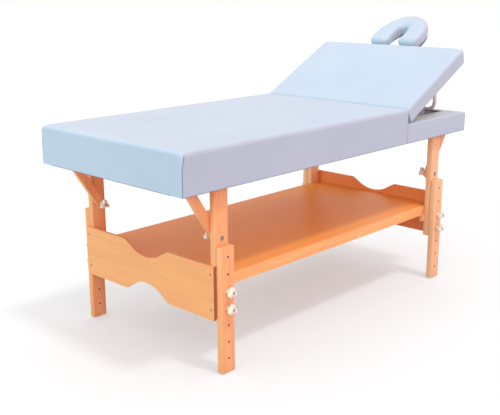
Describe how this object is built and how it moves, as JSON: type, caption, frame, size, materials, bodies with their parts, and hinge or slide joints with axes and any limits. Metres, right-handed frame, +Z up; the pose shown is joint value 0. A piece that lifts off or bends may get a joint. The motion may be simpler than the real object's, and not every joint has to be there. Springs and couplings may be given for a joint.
{
  "type": "massage table",
  "caption": "Reclining massage table: padded top with a lift-up backrest and a horseshoe face cradle, pine legs of adjustable height and a shelf below.",
  "frame": {"origin": "centre of the bounding box at floor level", "axes": "+X from the foot end to the head end with the face cradle, +Y to the left, +Z up"},
  "size_m": [2.038, 0.891, 1.2453],
  "materials": {
    "cream_plastic": "satin",
    "painted_steel": "semi-gloss",
    "pale_vinyl": "satin",
    "plated_steel": "plated",
    "plywood": "raw",
    "upholstery_foam": "soft",
    "varnished_pine": "satin varnish"
  },
  "bodies": {
    "frame": {"side_rail_left": "varnished_pine", "side_rail_right": "varnished_pine", "end_rail_foot": "varnished_pine", "end_rail_head": "varnished_pine", "cross_rail_1": "varnished_pine", "cross_rail_2": "varnished_pine", "hinge_rail": "varnished_pine", "seat_deck": "plywood", "seat_foam": "upholstery_foam", "seat_cover": "pale_vinyl", "head_border": "plywood", "head_cover": "pale_vinyl", "well_floor": "plywood", "bar_rack_left": "varnished_pine", "bar_rack_right": "varnished_pine", "upper_leg_foot_left": "varnished_pine", "brace_foot_left": "varnished_pine", "brace_bolt_foot_left": "plated_steel", "upper_leg_foot_right": "varnished_pine", "brace_foot_right": "varnished_pine", "brace_bolt_foot_right": "plated_steel", "upper_leg_head_left": "varnished_pine", "brace_head_left": "varnished_pine", "brace_bolt_head_left": "plated_steel", "upper_leg_head_right": "varnished_pine", "brace_head_right": "varnished_pine", "brace_bolt_head_right": "plated_steel", "end_panel_foot": "varnished_pine", "end_panel_head": "varnished_pine", "shelf_rail_left": "varnished_pine", "shelf_rail_right": "varnished_pine", "shelf_board": "varnished_pine", "hinge_leaf_seat": "plated_steel"},
    "backrest": {"backrest_board": "plywood", "backrest_foam": "upholstery_foam", "backrest_cover": "pale_vinyl", "hinge_leaf_backrest": "plated_steel", "bar_bracket_left": "plated_steel", "bar_bracket_right": "plated_steel"},
    "support_bar": {"support_bar": "painted_steel"},
    "face_cradle": {"cradle_pad": "pale_vinyl", "cradle_plate": "plywood", "cradle_rod_left": "plated_steel", "cradle_rod_right": "plated_steel"},
    "leg_foot_left": {"leg_extension_foot_left": "varnished_pine"},
    "knob_low_foot_left": {"leg_knob_low_foot_left": "cream_plastic"},
    "knob_high_foot_left": {"leg_knob_high_foot_left": "cream_plastic"},
    "knob_brace_foot_left": {"brace_knob_foot_left": "cream_plastic"},
    "leg_foot_right": {"leg_extension_foot_right": "varnished_pine"},
    "knob_low_foot_right": {"leg_knob_low_foot_right": "cream_plastic"},
    "knob_high_foot_right": {"leg_knob_high_foot_right": "cream_plastic"},
    "knob_brace_foot_right": {"brace_knob_foot_right": "cream_plastic"},
    "leg_head_left": {"leg_extension_head_left": "varnished_pine"},
    "knob_low_head_left": {"leg_knob_low_head_left": "cream_plastic"},
    "knob_high_head_left": {"leg_knob_high_head_left": "cream_plastic"},
    "knob_brace_head_left": {"brace_knob_head_left": "cream_plastic"},
    "leg_head_right": {"leg_extension_head_right": "varnished_pine"},
    "knob_low_head_right": {"leg_knob_low_head_right": "cream_plastic"},
    "knob_high_head_right": {"leg_knob_high_head_right": "cream_plastic"},
    "knob_brace_head_right": {"brace_knob_head_right": "cream_plastic"}
  },
  "joints": [
    {"name": "backrest_recline", "type": "hinge", "parent": "frame", "child": "backrest", "pos_m": [0.33305, 0, 0.842], "axis": [0, -1, 0], "range_deg": [-28, 6]},
    {"name": "support_bar_swing", "type": "hinge", "parent": "backrest", "child": "support_bar", "pos_m": [0.73572, 0, 1.00061], "axis": [0, -1, 0], "range_deg": [-67.9, 14.63]},
    {"name": "face_cradle_slide", "type": "slide", "parent": "backrest", "child": "face_cradle", "axis": [0.8829, 0, 0.4695], "range_m": [0, 0.08]},
    {"name": "leg_height_foot_left", "type": "slide", "parent": "frame", "child": "leg_foot_left", "axis": [0, 0, 1], "range_m": [-0.133, 0.1995]},
    {"name": "knob_turn_low_foot_left", "type": "hinge", "parent": "leg_foot_left", "child": "knob_low_foot_left", "pos_m": [-0.80395, 0.4165, 0.258], "axis": [0, 1, 0], "continuous": true},
    {"name": "knob_turn_high_foot_left", "type": "hinge", "parent": "leg_foot_left", "child": "knob_high_foot_left", "pos_m": [-0.80395, 0.4165, 0.3245], "axis": [0, 1, 0], "continuous": true},
    {"name": "knob_turn_brace_foot_left", "type": "hinge", "parent": "frame", "child": "knob_brace_foot_left", "pos_m": [-0.80395, 0.3363, 0.522], "axis": [0, -1, 0], "continuous": true},
    {"name": "leg_height_foot_right", "type": "slide", "parent": "frame", "child": "leg_foot_right", "axis": [0, 0, 1], "range_m": [-0.133, 0.1995]},
    {"name": "knob_turn_low_foot_right", "type": "hinge", "parent": "leg_foot_right", "child": "knob_low_foot_right", "pos_m": [-0.80395, -0.4165, 0.258], "axis": [0, -1, 0], "continuous": true},
    {"name": "knob_turn_high_foot_right", "type": "hinge", "parent": "leg_foot_right", "child": "knob_high_foot_right", "pos_m": [-0.80395, -0.4165, 0.3245], "axis": [0, -1, 0], "continuous": true},
    {"name": "knob_turn_brace_foot_right", "type": "hinge", "parent": "frame", "child": "knob_brace_foot_right", "pos_m": [-0.80395, -0.3363, 0.522], "axis": [0, 1, 0], "continuous": true},
    {"name": "leg_height_head_left", "type": "slide", "parent": "frame", "child": "leg_head_left", "axis": [0, 0, 1], "range_m": [-0.133, 0.1995]},
    {"name": "knob_turn_low_head_left", "type": "hinge", "parent": "leg_head_left", "child": "knob_low_head_left", "pos_m": [0.63455, 0.4165, 0.258], "axis": [0, 1, 0], "continuous": true},
    {"name": "knob_turn_high_head_left", "type": "hinge", "parent": "leg_head_left", "child": "knob_high_head_left", "pos_m": [0.63455, 0.4165, 0.3245], "axis": [0, 1, 0], "continuous": true},
    {"name": "knob_turn_brace_head_left", "type": "hinge", "parent": "frame", "child": "knob_brace_head_left", "pos_m": [0.63455, 0.3363, 0.522], "axis": [0, -1, 0], "continuous": true},
    {"name": "leg_height_head_right", "type": "slide", "parent": "frame", "child": "leg_head_right", "axis": [0, 0, 1], "range_m": [-0.133, 0.1995]},
    {"name": "knob_turn_low_head_right", "type": "hinge", "parent": "leg_head_right", "child": "knob_low_head_right", "pos_m": [0.63455, -0.4165, 0.258], "axis": [0, -1, 0], "continuous": true},
    {"name": "knob_turn_high_head_right", "type": "hinge", "parent": "leg_head_right", "child": "knob_high_head_right", "pos_m": [0.63455, -0.4165, 0.3245], "axis": [0, -1, 0], "continuous": true},
    {"name": "knob_turn_brace_head_right", "type": "hinge", "parent": "frame", "child": "knob_brace_head_right", "pos_m": [0.63455, -0.3363, 0.522], "axis": [0, 1, 0], "continuous": true}
  ],
  "couplings": [
    {"joint": "support_bar_swing", "follows": "backrest_recline", "ratio": 2.4214}
  ]
}
